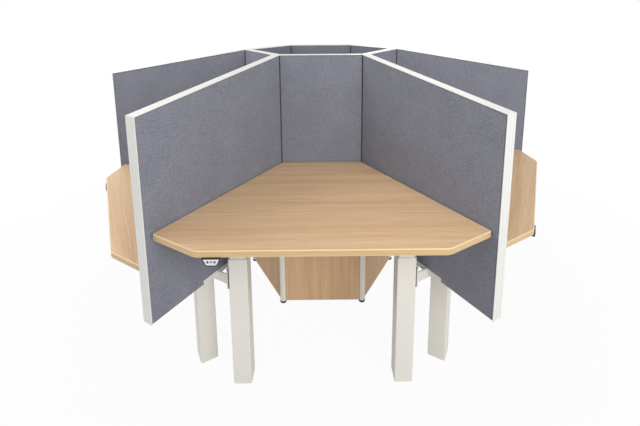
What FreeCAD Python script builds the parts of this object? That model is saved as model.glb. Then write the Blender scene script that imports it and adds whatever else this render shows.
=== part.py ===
import FreeCAD
import Part
import os
from math import atan2, cos, degrees, radians, sin, tan

# Hexagonal pod of six height-adjustable desks, divided by acoustic screens.
# Millimetres. +Z is up, and the origin is on the floor at the centre of the hexagon.
# Station 1 faces -Y, and the other stations follow clockwise, seen from above.

# How far each desk stands above its lowest place, clockwise from the front
desk_raises = (170.0, 15.0, 55.0, 55.0, 55.0, 95.0)
lift_stroke = 480.0

# Core: a hexagon of posts with panels between them
core_side = 450.0
core_height = 1420.0
post_diameter = 34.0
post_wall = 2.0
glide_diameter = 36.0
glide_height = 14.0
lower_panel_thickness = 19.0
lower_panel_gap = 1.0
lower_panel_joint = 2.0

# Acoustic panels: a stiff board with a fabric pad on each face
board_thickness = 16.0
pad_thickness = 14.0
screen_reach = 1283.0
screen_end_height = 1280.0
screen_bottom = 500.0

# Extruded trim round the panel edges
trim_wall = 1.5
trim_cover = 3.0
trim_lip = 4.0
trim_edge_ease = 2.0
trim_groove_width = 1.6
trim_groove_depth = 0.8
trim_groove_place = 8.0
cap_plug_length = 15.0
cap_plug_reach = 13.0

# Channel under each screen, and the saddle that carries it between two columns
channel_wall = 2.0
channel_flange = 20.0
channel_reach = 1035.0
saddle_thickness = 6.0
saddle_height = 45.0
saddle_outwards = 14.0
saddle_seat = 22.0
clamp_plate_thickness = 6.0
clamp_plate_width = 42.0
clamp_plate_height = 88.0
clamp_plate_drop = 24.0
clamp_pad_thickness = 8.0
clamp_pad_inset = 1.0

# Worktop
worktop_thickness = 25.0
front_edge_width = 844.0
worktop_gap = 6.0
worktop_end_setback = 26.0
front_corner_radius = 50.0
end_corner_radius = 8.0
worktop_edge_ease = 2.0

# Lifting columns
column_size = 80.0
column_wall = 2.5
column_corner_radius = 4.0
column_corner_facets = 2
column_overlap = 95.0
column_spacing = 714.0
column_from_screen = 116.2
foot_thickness = 5.0
foot_plug_height = 7.0
inner_column_size = 70.0
inner_column_wall = 2.0
inner_column_corner_radius = 3.0
inner_column_rest = 13.0
liner_length = 60.0
liner_collar = 3.0
lowest_gap = 17.0

# Lift drive inside each column, and the control box under each worktop
motor_length = 120.0
motor_size = 64.0
motor_corner_radius = 14.0
spindle_diameter = 16.0
spindle_tip_gap = 5.0
nut_length = 30.0
nut_top_gap = 7.0
nut_tube_size = 36.0
nut_tube_wall = 3.0
control_box_length = 230.0
control_box_width = 96.0
control_box_height = 36.0
control_box_ease = 5.0
control_box_behind_beam = 40.0
control_box_from_arm = 26.0

# Steel frame under each worktop
bracket_wall = 3.0
bracket_depth = 35.0
bracket_tip_depth = 14.0
bracket_front_margin = 67.0
bracket_rear_reach = 90.0
beam_width = 60.0
beam_height = 30.0
beam_wall = 2.5
rear_arm_width = 50.0
rear_arm_depth = 25.0
rear_arm_wall = 2.5
rear_arm_margin = 70.0

# Handset under the front edge, at the user's left, with two triangular keys
handset_top_width = 64.0
handset_foot_width = 40.0
handset_height = 28.0
handset_length = 60.0
handset_proud = 5.0
handset_corner_ease = 4.0
handset_from_corner = 57.0
face_rim = 3.2
face_thickness = 1.6
key_spacing = 24.0
key_size = 9.0
key_drop = 12.5
key_proud = 1.2
key_root = 2.5
key_travel = 1.0
display_width = 11.0
display_height = 7.0
display_recess = 0.5

# Sides of the round bars and bores that stay hidden
hidden_sides = 12

# Clearances
post_clearance = 0.4
trim_clearance = 0.4
channel_clearance = 0.25
saddle_clearance = 0.25
liner_tube_clearance = 0.2
slide_clearance = 0.3
thread_clearance = 0.3
bracket_clearance = 0.25
foot_clearance = 0.3
key_clearance = 0.35

# Hexagon values that follow from the sizes above
station_count = len(desk_raises)
sector = 360.0 / station_count
half_sector = radians(sector / 2)
corner_half = radians((180.0 - sector) / 2)
core_apothem = core_side / 2 / tan(half_sector)
post_circle = core_side / 2 / sin(half_sector)
panel_thickness = board_thickness + 2 * pad_thickness
trim_width = panel_thickness + 2 * trim_wall
panel_setback = trim_width / 2 / tan(corner_half) + trim_clearance
up = FreeCAD.Vector(0, 0, 1)
origin = FreeCAD.Vector(0, 0, 0)


# Shared building helpers

def box(x, y, z):
    """A block between the low and high values given for each axis."""
    low = FreeCAD.Vector(x[0], y[0], z[0])
    return Part.makeBox(x[1] - x[0], y[1] - y[0], z[1] - z[0], low)


def prism(points, direction):
    """A polygon of 3-D points pushed along a direction."""
    corners = [FreeCAD.Vector(*point) for point in points]
    outline = Part.makePolygon(corners + corners[:1])
    return Part.Face(outline).extrude(FreeCAD.Vector(*direction))


def rounded_outline(points, radii):
    """A closed flat wire through the points, with an arc of the given radius at each."""
    corners = [FreeCAD.Vector(*point) for point in points]
    starts, arcs, ends = [], [], []
    for i, corner in enumerate(corners):
        back = (corners[i - 1] - corner).normalize()
        ahead = (corners[(i + 1) % len(corners)] - corner).normalize()
        half_angle = back.getAngle(ahead) / 2
        reach = radii[i] / tan(half_angle)
        inward = (back + ahead).normalize()
        middle = corner + inward * (radii[i] / sin(half_angle) - radii[i])
        starts.append(corner + back * reach)
        ends.append(corner + ahead * reach)
        arcs.append([Part.Arc(starts[i], middle, ends[i]).toShape()] if radii[i] else [])
    edges = []
    for i, arc in enumerate(arcs):
        edges += arc + [Part.makeLine(ends[i], starts[(i + 1) % len(arcs)])]
    return Part.Wire(edges)


def eased_bar(size, radius, low, high, facets=1):
    """An upright square bar with each corner rounded in flat facets."""
    centre = size / 2 - radius
    points = []
    for quarter, (sx, sy) in enumerate([(1, 1), (-1, 1), (-1, -1), (1, -1)]):
        for i in range(facets + 1):
            a = radians(90 * (quarter + i / facets))
            points.append((sx * centre + radius * cos(a), sy * centre + radius * sin(a), low))
    return prism(points, (0, 0, high - low))


def many_sided(radius, low, high):
    """A many-sided bar round the circle of the radius, for round pieces that stay hidden."""
    reach = radius / cos(radians(180 / hidden_sides))
    turns = [radians(360 * i / hidden_sides) for i in range(hidden_sides)]
    return prism([(reach * cos(a), reach * sin(a), low) for a in turns], (0, 0, high - low))


def bored(bar, size, low, high):
    """A bar with a square hole down its middle."""
    h = size / 2
    return bar.cut(box((-h, h), (-h, h), (low, high)))


def turned(shape, angle):
    """A copy turned about the middle of the pod."""
    copy = shape.copy()
    copy.rotate(origin, up, angle)
    return copy


def moved(shape, x, y, z=0.0):
    """A copy moved by the given distances."""
    copy = shape.copy()
    copy.translate(FreeCAD.Vector(x, y, z))
    return copy


def mirrored(shape, normal):
    """A mirror image through the middle of the pod."""
    return shape.mirror(origin, FreeCAD.Vector(*normal))


def everywhere(*shapes):
    """The shapes repeated round the hexagon."""
    return [turned(shape, sector * i) for i in range(station_count) for shape in shapes]


def save(node, shapes):
    """Write one sub-part, as a group of separate solids where it repeats."""
    solids = [solid for shape in shapes for solid in shape.Solids]
    whole = solids[0] if len(solids) == 1 else Part.makeCompound(solids)
    whole.exportStep(os.path.join("parts", node + ".step"))
    print(node, len(solids), "solids", all(solid.isValid() for solid in solids))


# Core posts, glides and lower panels

screen_start = post_circle + panel_setback
screen_slope = atan2(core_height - screen_end_height, screen_reach - screen_start)
post_top = core_height - trim_cover / cos(screen_slope) - post_diameter / 2 * tan(screen_slope)


def core_post():
    """A round tube on the first corner of the hexagon, from the glide to under the trims."""
    tube = Part.makeCylinder(post_diameter / 2, post_top - glide_height, up * glide_height)
    bore = many_sided(post_diameter / 2 - post_wall, glide_height, post_top)
    return moved(tube.cut(bore), post_circle, 0)


def core_glide():
    """A round black foot under a post."""
    return moved(Part.makeCylinder(glide_diameter / 2, glide_height), post_circle, 0)


def core_lower_panel():
    """A laminate panel between two posts, from just above the floor to under the fabric."""
    half_width = core_side / 2 - post_diameter / 2 - post_clearance
    y = (-core_apothem - lower_panel_thickness / 2, -core_apothem + lower_panel_thickness / 2)
    low = glide_height + lower_panel_gap
    return box((-half_width, half_width), y, (low, screen_bottom - lower_panel_joint))


# Acoustic panels: core panels on the hexagon's sides, screens out from its corners

def post_grooves(shape):
    """Hollow the ends of a core panel so that they seat round the two posts."""
    for side in (-1, 1):
        foot = FreeCAD.Vector(side * core_side / 2, -core_apothem, 0)
        groove = Part.makeCylinder(post_diameter / 2 + post_clearance, core_height, foot)
        shape = shape.cut(groove)
    return shape


def core_layer(inner, outer):
    """One layer of a core panel, between two distances from the panel's mid-plane."""
    half_width = core_side / 2 - panel_setback
    y = (-core_apothem - outer, -core_apothem - inner)
    return post_grooves(box((-half_width, half_width), y, (screen_bottom, core_height - trim_cover)))


def screen_top(radius):
    """Height of the screen's outer sloping edge at a distance from the middle of the pod."""
    return core_height - (radius - screen_start) * tan(screen_slope)


def screen_layer(inner, outer):
    """One layer of the screen on +X, between two distances from its mid-plane."""
    end = screen_reach - trim_cover
    drop = trim_cover / cos(screen_slope)
    points = [(screen_start, inner, screen_bottom), (end, inner, screen_bottom)]
    points += [(end, inner, screen_top(end) - drop), (screen_start, inner, core_height - drop)]
    layer = prism(points, (0, outer - inner, 0))
    foot = FreeCAD.Vector(post_circle, 0, 0)
    return layer.cut(Part.makeCylinder(post_diameter / 2 + post_clearance, core_height, foot))


pad_inner = board_thickness / 2
pad_outer = panel_thickness / 2


# Extruded trim

def trim_bar(length):
    """The U-shaped trim along +X, grooved on top, eased at its edges and open below."""
    h = trim_width / 2
    inside = panel_thickness / 2
    g0 = trim_groove_place
    g1 = g0 + trim_groove_width
    half = [(0, 0), (g0, 0), (g0, -trim_groove_depth), (g1, -trim_groove_depth), (g1, 0)]
    half += [(h - trim_edge_ease, 0), (h, -trim_edge_ease), (h, -trim_lip), (inside, -trim_lip)]
    half += [(inside, -trim_cover), (0, -trim_cover)]
    side = [(0, y, z) for y, z in half]
    other = [(0, -y, z) for y, z in reversed(half[1:-1])]
    return prism(side + other, (length, 0, 0))


def core_trim():
    """The level trim on top of one core panel."""
    length = core_side - 2 * panel_setback
    return moved(trim_bar(length), -length / 2, -core_apothem, core_height)


def three_points(reach):
    """The corners of a triangle whose sides face the three trims at the first post."""
    turns = [radians(sector + 120 * i) for i in range(3)]
    return [(reach * cos(a), reach * sin(a), 0) for a in turns]


def core_cap():
    """The three-way cap between the trims, seated on the post with a plug inside it."""
    tip = (panel_setback - trim_clearance / 2) / cos(corner_half)
    plate = prism(three_points(tip), (0, 0, core_height - post_top))
    plug = prism(three_points(cap_plug_reach), (0, 0, -cap_plug_length))
    return moved(plate.fuse(plug), post_circle, 0, post_top)


def screen_trims():
    """The sloping top trim and the upright end trim of the screen on +X, mitred together."""
    spare = 2 * trim_lip
    run = (screen_reach - screen_start) / cos(screen_slope)
    top = moved(trim_bar(run + 2 * spare), -spare, 0)
    top.rotate(origin, FreeCAD.Vector(0, 1, 0), degrees(screen_slope))
    top = moved(top, screen_start, 0, core_height)
    end = trim_bar(screen_end_height - screen_bottom + spare)
    end.rotate(origin, FreeCAD.Vector(0, 1, 0), 90)
    end = moved(end, screen_reach, 0, screen_end_height + spare)
    lean = (radians(90) - screen_slope) / 2
    x, z = 2 * spare * sin(lean), 2 * spare * cos(lean)
    inner = (screen_reach - x, -trim_width, screen_end_height - z)
    outer = (screen_reach + x, -trim_width, screen_end_height + z)
    below = [(corner[0], -trim_width, screen_bottom - spare) for corner in (outer, inner)]
    behind = [(screen_start, -trim_width, core_height + side * z) for side in (1, -1)]
    across = (0, 2 * trim_width, 0)
    top = top.common(prism([inner, outer] + behind, across))
    end = end.common(prism([inner, outer] + below, across))
    return top, end


# Channel and saddle under each screen

channel_inside = panel_thickness / 2 + channel_clearance
channel_outside = channel_inside + channel_wall
channel_low = screen_bottom - channel_wall


def screen_channel():
    """A folded U that holds the lower edge of the screen on +X."""
    start = post_circle + post_diameter / 2 + post_clearance
    high = screen_bottom + channel_flange
    points = [(channel_outside, high), (channel_inside, high), (channel_inside, screen_bottom)]
    points += [(-channel_inside, screen_bottom), (-channel_inside, high), (-channel_outside, high)]
    points += [(-channel_outside, channel_low), (channel_outside, channel_low)]
    return prism([(start, y, z) for y, z in points], (channel_reach - start, 0, 0))


worktop_side = panel_thickness / 2 + worktop_gap
worktop_back = core_apothem + panel_thickness / 2 + worktop_gap
worktop_end = screen_reach - worktop_end_setback
worktop_front_x = front_edge_width / 2
worktop_front = (worktop_end - worktop_front_x * sin(half_sector)) / cos(half_sector)
column_x = column_spacing / 2
column_y = (column_from_screen + column_x * cos(half_sector)) / sin(half_sector)
clamp_low = channel_low - saddle_seat - clamp_plate_drop
clamp_pad_x = column_x + column_size / 2
clamp_plate_x = clamp_pad_x + clamp_pad_thickness
saddle_x = clamp_plate_x + clamp_plate_thickness

# Turn that carries the left-hand side of station 1 to the +Y side of the screen on +X
to_screen = 90.0 + sector / 2


def clamp_block(near, far, inset):
    """A block beside station 1's left column, turned to the +Y side of the screen on +X."""
    half = clamp_plate_width / 2 - inset
    z = (clamp_low + inset, clamp_low + clamp_plate_height - inset)
    return turned(box((-far, -near), (-column_y - half, -column_y + half), z), to_screen)


def bridge_saddle():
    """A notched plate across the channel, with a clamp plate welded to each end."""
    low = channel_low - saddle_seat
    high = low + saddle_height
    middle = saddle_x * sin(half_sector) + column_y * cos(half_sector) + saddle_outwards
    x = (middle - saddle_thickness / 2, middle + saddle_thickness / 2)
    span = (-column_from_screen, column_from_screen)
    arm = box(x, span, (low, high))
    beyond = box((-saddle_x, 0), (-2 * column_y, 0), (low, high))
    beyond = turned(beyond, to_screen)
    notch = channel_outside + saddle_clearance
    arm = arm.cut(box(x, (-notch, notch), (channel_low, high)))
    arm = arm.cut(beyond).cut(mirrored(beyond, (0, 1, 0)))
    plate = clamp_block(clamp_plate_x, saddle_x, 0.0)
    return arm.fuse([plate, mirrored(plate, (0, 1, 0))])


# Worktop

def worktop(height):
    """A laminate top between two screens, with cut and rounded front corners."""
    back_x = worktop_back * tan(half_sector) - worktop_side / cos(half_sector)
    end_x = worktop_end * sin(half_sector) - worktop_side * cos(half_sector)
    end_y = worktop_end * cos(half_sector) + worktop_side * sin(half_sector)
    right = [(back_x, worktop_back), (end_x, end_y), (worktop_front_x, worktop_front)]
    left = [(-x, y) for x, y in reversed(right)]
    points = [(x, -y, height - worktop_thickness) for x, y in right + left]
    radii = [0.0, end_corner_radius, front_corner_radius]
    outline = Part.Face(rounded_outline(points, radii + radii[::-1]))
    board = outline.extrude(up * worktop_thickness)
    rims = [face for face in board.Faces if abs(face.normalAt(0, 0).z) > 0.5]
    return board.makeChamfer(worktop_edge_ease, [edge for face in rims for edge in face.Edges])


# Lifting columns

def at_columns(shape):
    """The two copies of a column piece that stand under station 1."""
    return [moved(shape, side * column_x, -column_y) for side in (-1, 1)]


foot_top = foot_thickness + foot_plug_height
column_inside = column_size - 2 * column_wall
column_height = foot_top + inner_column_rest + lift_stroke + column_overlap
bracket_under = worktop_thickness + bracket_wall
desk_lowest = column_height + liner_collar + lowest_gap + bracket_depth + worktop_thickness


def outer_column():
    """The square tube that stands on the floor."""
    low, high = foot_thickness, column_height
    bar = eased_bar(column_size, column_corner_radius, low, high, column_corner_facets)
    return bored(bar, column_inside, low, high)


def column_foot():
    """A square foot with a plug that fills the lower end of the outer tube."""
    base = eased_bar(column_size, column_corner_radius, 0, foot_thickness)
    h = column_inside / 2 - foot_clearance
    return base.fuse(box((-h, h), (-h, h), (foot_thickness, foot_top)))


def guide_liner():
    """A plastic liner in the mouth of the outer tube, with a collar on its rim."""
    top = column_height + liner_collar
    h = column_inside / 2 - liner_tube_clearance
    body = box((-h, h), (-h, h), (column_height - liner_length, column_height))
    body = body.fuse(eased_bar(column_size, column_corner_radius, column_height, top))
    return bored(body, inner_column_size + 2 * slide_clearance, 0, top)


def inner_column(height):
    """The rising tube, from under the head bracket down into the outer tube."""
    top = height - bracket_under
    low = top - (desk_lowest - bracket_under - foot_top - inner_column_rest)
    bar = eased_bar(inner_column_size, inner_column_corner_radius, low, top)
    return bored(bar, inner_column_size - 2 * inner_column_wall, low, top)


# Lift drive

spindle_top_drop = bracket_under + motor_length
spindle_length = desk_lowest - spindle_top_drop - foot_top - spindle_tip_gap
nut_top = desk_lowest - spindle_top_drop - nut_top_gap


def nut_tube():
    """A square tube on the column foot that carries the spindle nut at its upper end."""
    h = nut_tube_size / 2
    neck = nut_top - nut_length
    body = box((-h, h), (-h, h), (foot_top, nut_top))
    body = bored(body, nut_tube_size - 2 * nut_tube_wall, foot_top, neck)
    return body.cut(many_sided(spindle_diameter / 2 + thread_clearance, neck, nut_top))


def gear_motor(height):
    """A motor with its gearbox, which hangs in the top of the inner tube."""
    top = height - bracket_under
    return eased_bar(motor_size, motor_corner_radius, top - motor_length, top)


def spindle(height):
    """The lifting spindle below the motor, which turns in the nut."""
    high = height - spindle_top_drop
    return many_sided(spindle_diameter / 2, high - spindle_length, high)


def control_box(height):
    """The control box of the two motors, under the worktop beside the rear arm."""
    top = height - worktop_thickness
    y1 = -column_y + beam_width / 2 + control_box_behind_beam
    x1 = rear_arm_width / 2 + control_box_from_arm
    z = top - control_box_height
    body = box((x1, x1 + control_box_length), (y1, y1 + control_box_width), (z, top))
    lower = [edge for edge in body.Edges if edge.CenterOfMass.z < top - control_box_height / 4]
    return body.makeChamfer(control_box_ease, lower)


# Steel frame under the worktop

def head_bracket(height):
    """An inverted U over the top of a column, deep at the column and shallow at its ends."""
    top = height - worktop_thickness
    inside = inner_column_size / 2 + bracket_clearance
    half = inside + bracket_wall
    front, rear = column_y + bracket_front_margin - worktop_front, bracket_rear_reach
    deep = inner_column_size / 2 + bracket_depth / 2
    points = [(-half, front, top), (-half, rear, top), (-half, rear, top - bracket_tip_depth)]
    points += [(-half, deep, top - bracket_depth), (-half, -deep, top - bracket_depth)]
    points += [(-half, front, top - bracket_tip_depth)]
    body = prism(points, (2 * half, 0, 0))
    hollow = box((-inside, inside), (front, rear), (top - bracket_depth, top - bracket_wall))
    return body.cut(hollow)


def cross_beam(height):
    """A box beam between the two head brackets."""
    end = column_x - inner_column_size / 2 - bracket_clearance - bracket_wall
    top = height - worktop_thickness
    low = top - beam_height
    y = (-column_y - beam_width / 2, -column_y + beam_width / 2)
    inside = (y[0] + beam_wall, y[1] - beam_wall)
    body = box((-end, end), y, (low, top))
    return body.cut(box((-end, end), inside, (low + beam_wall, top - beam_wall)))


def rear_arm(height):
    """An inverted U from the crossbeam towards the core, under the narrow part of the top."""
    top = height - worktop_thickness
    h = rear_arm_width / 2
    y = (-column_y + beam_width / 2, -worktop_back - rear_arm_margin)
    body = box((-h, h), y, (top - rear_arm_depth, top))
    inside = h - rear_arm_wall
    return body.cut(box((-inside, inside), y, (top - rear_arm_depth, top - rear_arm_wall)))


# Handset and its keys

handset_x = handset_from_corner - worktop_front_x
handset_face_y = -worktop_front - handset_proud


def handset_shape(height, inset, y, length, ease):
    """A trapezoid block under the worktop, with its lower corners cut, set in all round."""
    top = height - worktop_thickness - inset
    low = height - worktop_thickness - handset_height + inset
    lean = (handset_top_width - handset_foot_width) / 2 / handset_height
    wide = handset_top_width / 2 - inset * lean - inset
    narrow = handset_foot_width / 2 + inset * lean - inset
    side = narrow + ease * lean
    half = [(wide, top), (side, low + ease), (narrow - ease, low)]
    points = [(handset_x + x, y, z) for x, z in half]
    points += [(handset_x - x, y, z) for x, z in reversed(half)]
    return prism(points, (0, length, 0))


def key(height, side, grow, y, length):
    """A triangular block that points up on the left key and down on the right one."""
    z = height - worktop_thickness - key_drop
    x = handset_x + side * key_spacing / 2
    points = []
    for angle in (90, 210, 330):
        reach = key_size / 2 / cos(radians(30)) + 2 * grow
        lift = -side * (reach * sin(radians(angle)))
        points.append((x + reach * cos(radians(angle)), y, z + lift))
    return prism(points, (0, length, 0))


def handset(height):
    """The housing, and the face plate set in its rim with room for the display and keys."""
    housing = handset_shape(height, 0.0, handset_face_y, handset_length, handset_corner_ease)
    recess = handset_shape(height, face_rim, handset_face_y, face_thickness, handset_corner_ease / 2)
    housing = housing.cut(recess)
    plate = recess.copy()
    z = height - worktop_thickness - key_drop
    x = (handset_x - display_width / 2, handset_x + display_width / 2)
    window = box(x, (handset_face_y, handset_face_y + display_recess),
                 (z - display_height / 2, z + display_height / 2))
    plate = plate.cut(window)
    pocket = face_thickness + key_root + key_travel + key_clearance
    for side in (-1, 1):
        hole = key(height, side, key_clearance, handset_face_y, pocket)
        plate = plate.cut(hole)
        housing = housing.cut(hole)
    return housing, plate


def key_button(height, side):
    """A key that stands proud of the face and reaches into the housing."""
    length = key_proud + face_thickness + key_root
    return key(height, side, 0.0, handset_face_y - key_proud, length)


# Write every sub-part

os.makedirs("parts", exist_ok=True)

save("core_posts", everywhere(core_post()))
save("core_glides", everywhere(core_glide()))
save("core_lower_panels", everywhere(core_lower_panel()))
save("core_boards", everywhere(core_layer(-pad_inner, pad_inner)))
core_pads = [core_layer(pad_inner, pad_outer), core_layer(-pad_outer, -pad_inner)]
save("core_pads", everywhere(*core_pads))
save("core_trims", everywhere(core_trim()))
save("core_caps", everywhere(core_cap()))
save("screen_boards", everywhere(screen_layer(-pad_inner, pad_inner)))
screen_pads = [screen_layer(pad_inner, pad_outer), screen_layer(-pad_outer, -pad_inner)]
save("screen_pads", everywhere(*screen_pads))
save("screen_trims", everywhere(*screen_trims()))
save("screen_channels", everywhere(screen_channel()))
save("bridge_saddles", everywhere(bridge_saddle()))
pad = clamp_block(clamp_pad_x, clamp_plate_x, clamp_pad_inset)
save("clamp_pads", everywhere(pad, mirrored(pad, (0, 1, 0))))
save("outer_columns", everywhere(*at_columns(outer_column())))
save("column_feet", everywhere(*at_columns(column_foot())))
save("guide_liners", everywhere(*at_columns(guide_liner())))
save("nut_tubes", everywhere(*at_columns(nut_tube())))

for station, desk_raise in enumerate(desk_raises):
    desk_height = desk_lowest + desk_raise
    angle = -sector * station
    number = str(station + 1)
    frame = at_columns(head_bracket(desk_height))
    frame += [cross_beam(desk_height), rear_arm(desk_height)]
    drive = at_columns(gear_motor(desk_height)) + at_columns(spindle(desk_height))
    drive += [control_box(desk_height)]
    station_nodes = {
        "worktop_": [worktop(desk_height)],
        "desk_frame_": frame,
        "inner_columns_": at_columns(inner_column(desk_height)),
        "lift_drive_": drive,
        "handset_": handset(desk_height),
        "up_button_": [key_button(desk_height, -1)],
        "down_button_": [key_button(desk_height, 1)],
    }
    for name, shapes in station_nodes.items():
        save(name + number, [turned(shape, angle) for shape in shapes])
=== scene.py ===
# %% [markdown]
# # A hexagonal pod of six sit-stand desks
# Six desks stand round a hexagonal core, and fabric-covered screens part them. The real pod is
# made of powder-coated steel and aluminium, laminate boards and upholstered acoustic panels.
# The frame already holds every rigid piece at its real size and place, in metres. This lesson
# dresses it: it rounds the edges that catch light, upholsters the panels and gives each surface
# its finish. The pieces are modelled for the front station or for the screen on +X, and then
# turned to their places, because six equal sectors make up the whole.

# %% Load the frame
from math import atan2, cos, pi, radians, sin, tan

import bmesh
import bpy
from mathutils import Matrix, Vector


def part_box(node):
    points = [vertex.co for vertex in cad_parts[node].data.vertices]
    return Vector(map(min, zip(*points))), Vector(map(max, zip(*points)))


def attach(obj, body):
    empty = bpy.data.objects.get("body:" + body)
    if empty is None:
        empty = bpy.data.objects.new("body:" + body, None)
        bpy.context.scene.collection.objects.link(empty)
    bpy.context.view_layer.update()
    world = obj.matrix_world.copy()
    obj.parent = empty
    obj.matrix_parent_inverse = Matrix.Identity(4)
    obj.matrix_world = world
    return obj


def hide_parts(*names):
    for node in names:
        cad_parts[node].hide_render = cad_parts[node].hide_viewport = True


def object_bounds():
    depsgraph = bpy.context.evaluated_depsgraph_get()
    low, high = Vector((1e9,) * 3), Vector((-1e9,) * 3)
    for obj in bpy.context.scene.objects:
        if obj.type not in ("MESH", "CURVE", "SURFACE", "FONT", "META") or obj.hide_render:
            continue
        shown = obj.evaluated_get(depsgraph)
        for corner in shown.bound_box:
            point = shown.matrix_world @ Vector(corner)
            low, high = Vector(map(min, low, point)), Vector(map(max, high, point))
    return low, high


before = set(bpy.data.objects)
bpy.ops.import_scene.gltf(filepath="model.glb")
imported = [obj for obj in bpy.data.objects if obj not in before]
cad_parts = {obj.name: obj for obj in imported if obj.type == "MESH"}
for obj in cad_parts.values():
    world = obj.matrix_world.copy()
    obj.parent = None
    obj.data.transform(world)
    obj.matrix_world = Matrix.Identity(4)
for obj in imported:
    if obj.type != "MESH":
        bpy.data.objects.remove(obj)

cad_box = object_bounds()
stations = range(1, 7)
sector = radians(60)
half_sector = sector / 2
print("CAD box", [tuple(round(v, 3) for v in corner) for corner in cad_box])

# %% [markdown]
# ## Two helpers for every finish
# A finish is a small graph of shader nodes. Building it by hand takes three steps for each node:
# add it, set its options, and fill or link its inputs. One function does all three, so each
# finish below reads as a list of nodes. Colours are picked as sRGB hex values, as a paint chart
# gives them, and the shader wants linear light, so one function converts them.


# %% Helpers for materials
def linear(hex_value):
    """An sRGB hex colour as linear RGBA."""
    parts = [int(hex_value[i:i + 2], 16) / 255 for i in (1, 3, 5)]
    return [c / 12.92 if c <= 0.04045 else ((c + 0.055) / 1.055) ** 2.4 for c in parts] + [1.0]


def add(tree, kind, inputs=None, **options):
    """Add one shader node, set its options, and fill or link its inputs."""
    node = tree.nodes.new("ShaderNode" + kind)
    for option, value in options.items():
        setattr(node, option, value)
    for socket, value in (inputs or {}).items():
        if isinstance(value, bpy.types.NodeSocket):
            tree.links.new(value, node.inputs[socket])
        else:
            node.inputs[socket].default_value = value
    return node


def new_material(name, **values):
    """A material with its shader, whose constant values are set on the shader's own sockets."""
    material = bpy.data.materials.new(name)
    material.use_nodes = True
    tree = material.node_tree
    shader = tree.nodes["Principled BSDF"]
    for socket, value in values.items():
        shader.inputs[socket.replace("_", " ")].default_value = value
    return material, tree, shader


print("helpers ready")

# %% [markdown]
# ## Wood laminate
# The tops and the lower core panels are chipboard faced with melamine laminate: printed beech
# paper under a satin resin film. The print has broad pale and warm stripes, fine streaks along
# the grain and short dark flecks. Stretched noise gives all of these. Each layer has its own
# length along the grain and width across it, and a UV map in metres turns the grain with the
# board. The real pores are about half a millimetre wide, too fine to show from where the pod
# is seen whole, so they are drawn about six times as wide.

# %% Wood laminate
laminate_layers = {"stripe": (0.900, 0.050), "streak": (0.600, 0.0095), "pore": (0.140, 0.0030)}
fleck_size = (0.026, 0.0045)
# Noise seldom leaves its middle, so this part of it is stretched to the whole range of tones
noise_low, noise_high = 0.34, 0.66
fleck_start, fleck_full, fleck_strength = 0.67, 0.78, 0.40
streak_share, pore_share = 0.45, 0.30
satin, dull = 0.40, 0.56
pore_depth = 0.0001


def wood_laminate(name, pale, warm, fleck_colour, shine):
    """Satin laminate: it looks flat and warm, with streaks along the grain and a soft sheen."""
    material, tree, shader = new_material(name, IOR=1.5, Specular_IOR_Level=shine)
    uv = add(tree, "TexCoord").outputs["UV"]
    layers = {}
    for layer, (along, across) in {**laminate_layers, "fleck": fleck_size}.items():
        place = add(tree, "Mapping", {"Vector": uv, "Scale": (1 / along, 1 / across, 1)})
        noise = add(tree, "TexNoise", {"Vector": place.outputs[0], "Scale": 1, "Detail": 2},
                    noise_dimensions="2D")
        layers[layer] = noise.outputs[0]
    wide = add(tree, "Mix", {0: streak_share, 2: layers["stripe"], 3: layers["streak"]})
    tone = add(tree, "Mix", {0: pore_share, 2: wide.outputs[0], 3: layers["pore"]})
    share = add(tree, "MapRange", {"Value": tone.outputs[0], "From Min": noise_low,
                                   "From Max": noise_high})
    print_colour = add(tree, "Mix", {0: share.outputs[0], 6: linear(pale), 7: linear(warm)},
                       data_type="RGBA")
    fleck = add(tree, "MapRange", {"Value": layers["fleck"], "From Min": fleck_start,
                                   "From Max": fleck_full, "To Max": fleck_strength})
    flecked = add(tree, "Mix", {0: fleck.outputs[0], 6: print_colour.outputs[2],
                                7: linear(fleck_colour)}, data_type="RGBA")
    tree.links.new(flecked.outputs[2], shader.inputs["Base Color"])
    gloss = add(tree, "MapRange", {"Value": layers["pore"], "To Min": satin, "To Max": dull})
    tree.links.new(gloss.outputs[0], shader.inputs["Roughness"])
    relief = add(tree, "Bump", {"Height": layers["pore"], "Strength": 0.25,
                                "Distance": pore_depth})
    tree.links.new(relief.outputs[0], shader.inputs["Normal"])
    return material


laminate = wood_laminate("beech_melamine_laminate", "#E6C5A0", "#D0AA80", "#B08C68", 0.30)
# The panels under the desks have the same print with a matt, oiled-looking film
panel_laminate = wood_laminate("matt_beech_laminate", "#ECCAA4", "#D9B289", "#B58E66", 0.10)
print(laminate.name, len(laminate.node_tree.nodes), "nodes")

# %% [markdown]
# The edges of a top are closed with a 2 mm strip of ABS plastic, printed to match and rounded
# over at the rim. Plastic takes the print yellower than paper does. The rim is coloured paler
# than the face, which is a painted highlight along the rounded edge. The streaks run along the
# strip, so noise that is slow across the floor and quick in height draws them.

# %% Edge band
band_streak = (0.160, 0.160, 0.0022)
soft_low, soft_high = 0.3, 0.7


def edge_band(name, pale, warm):
    """Printed ABS: smooth, a little glossier than the laminate, with faint level streaks."""
    material, tree, shader = new_material(name, IOR=1.53, Roughness=0.38)
    place = add(tree, "Mapping", {"Vector": add(tree, "TexCoord").outputs["Object"],
                                  "Scale": [1 / size for size in band_streak]})
    noise = add(tree, "TexNoise", {"Vector": place.outputs[0], "Scale": 1, "Detail": 2})
    share = add(tree, "MapRange", {"Value": noise.outputs[0], "From Min": soft_low,
                                   "From Max": soft_high})
    streaked = add(tree, "Mix", {0: share.outputs[0], 6: linear(pale), 7: linear(warm)},
                   data_type="RGBA")
    tree.links.new(streaked.outputs[2], shader.inputs["Base Color"])
    return material


band_face = edge_band("abs_edge_band", "#D2B688", "#C4A472")
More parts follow.
